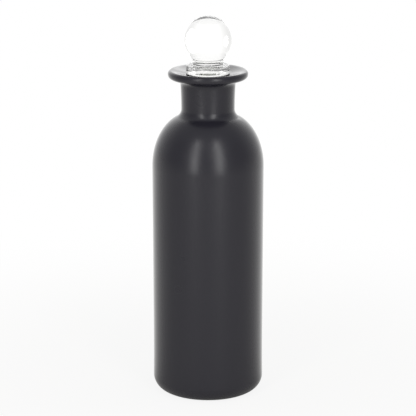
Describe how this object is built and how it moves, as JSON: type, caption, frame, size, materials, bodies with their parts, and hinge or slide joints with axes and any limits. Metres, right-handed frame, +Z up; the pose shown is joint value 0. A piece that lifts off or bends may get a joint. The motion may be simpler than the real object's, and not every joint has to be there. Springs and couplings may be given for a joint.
{
  "type": "stoppered bottle",
  "caption": "Tall round satin black glass bottle with a short neck, a wide flared lip and a clear solid ball stopper that lifts out.",
  "frame": {"origin": "centre of the ring that the bottle stands on", "axes": "+Z up along the bottle's axis, out through the stopper; the bottle is round, so X and Y are free"},
  "size_m": [0.0874, 0.0874, 0.2994],
  "materials": {
    "black_coated_glass": "satin black coating, opaque",
    "clear_glass": "clear, fire-polished",
    "clear_soft_plastic": "translucent, moulded"
  },
  "bodies": {
    "bottle": {"bottle": "black_coated_glass"},
    "stopper": {"stopper": "clear_glass", "seal_plug": "clear_soft_plastic"}
  },
  "joints": [
    {"name": "stopper_lift", "type": "slide", "parent": "bottle", "child": "stopper", "axis": [0, 0, 1], "range_m": [0, 0.034]}
  ]
}
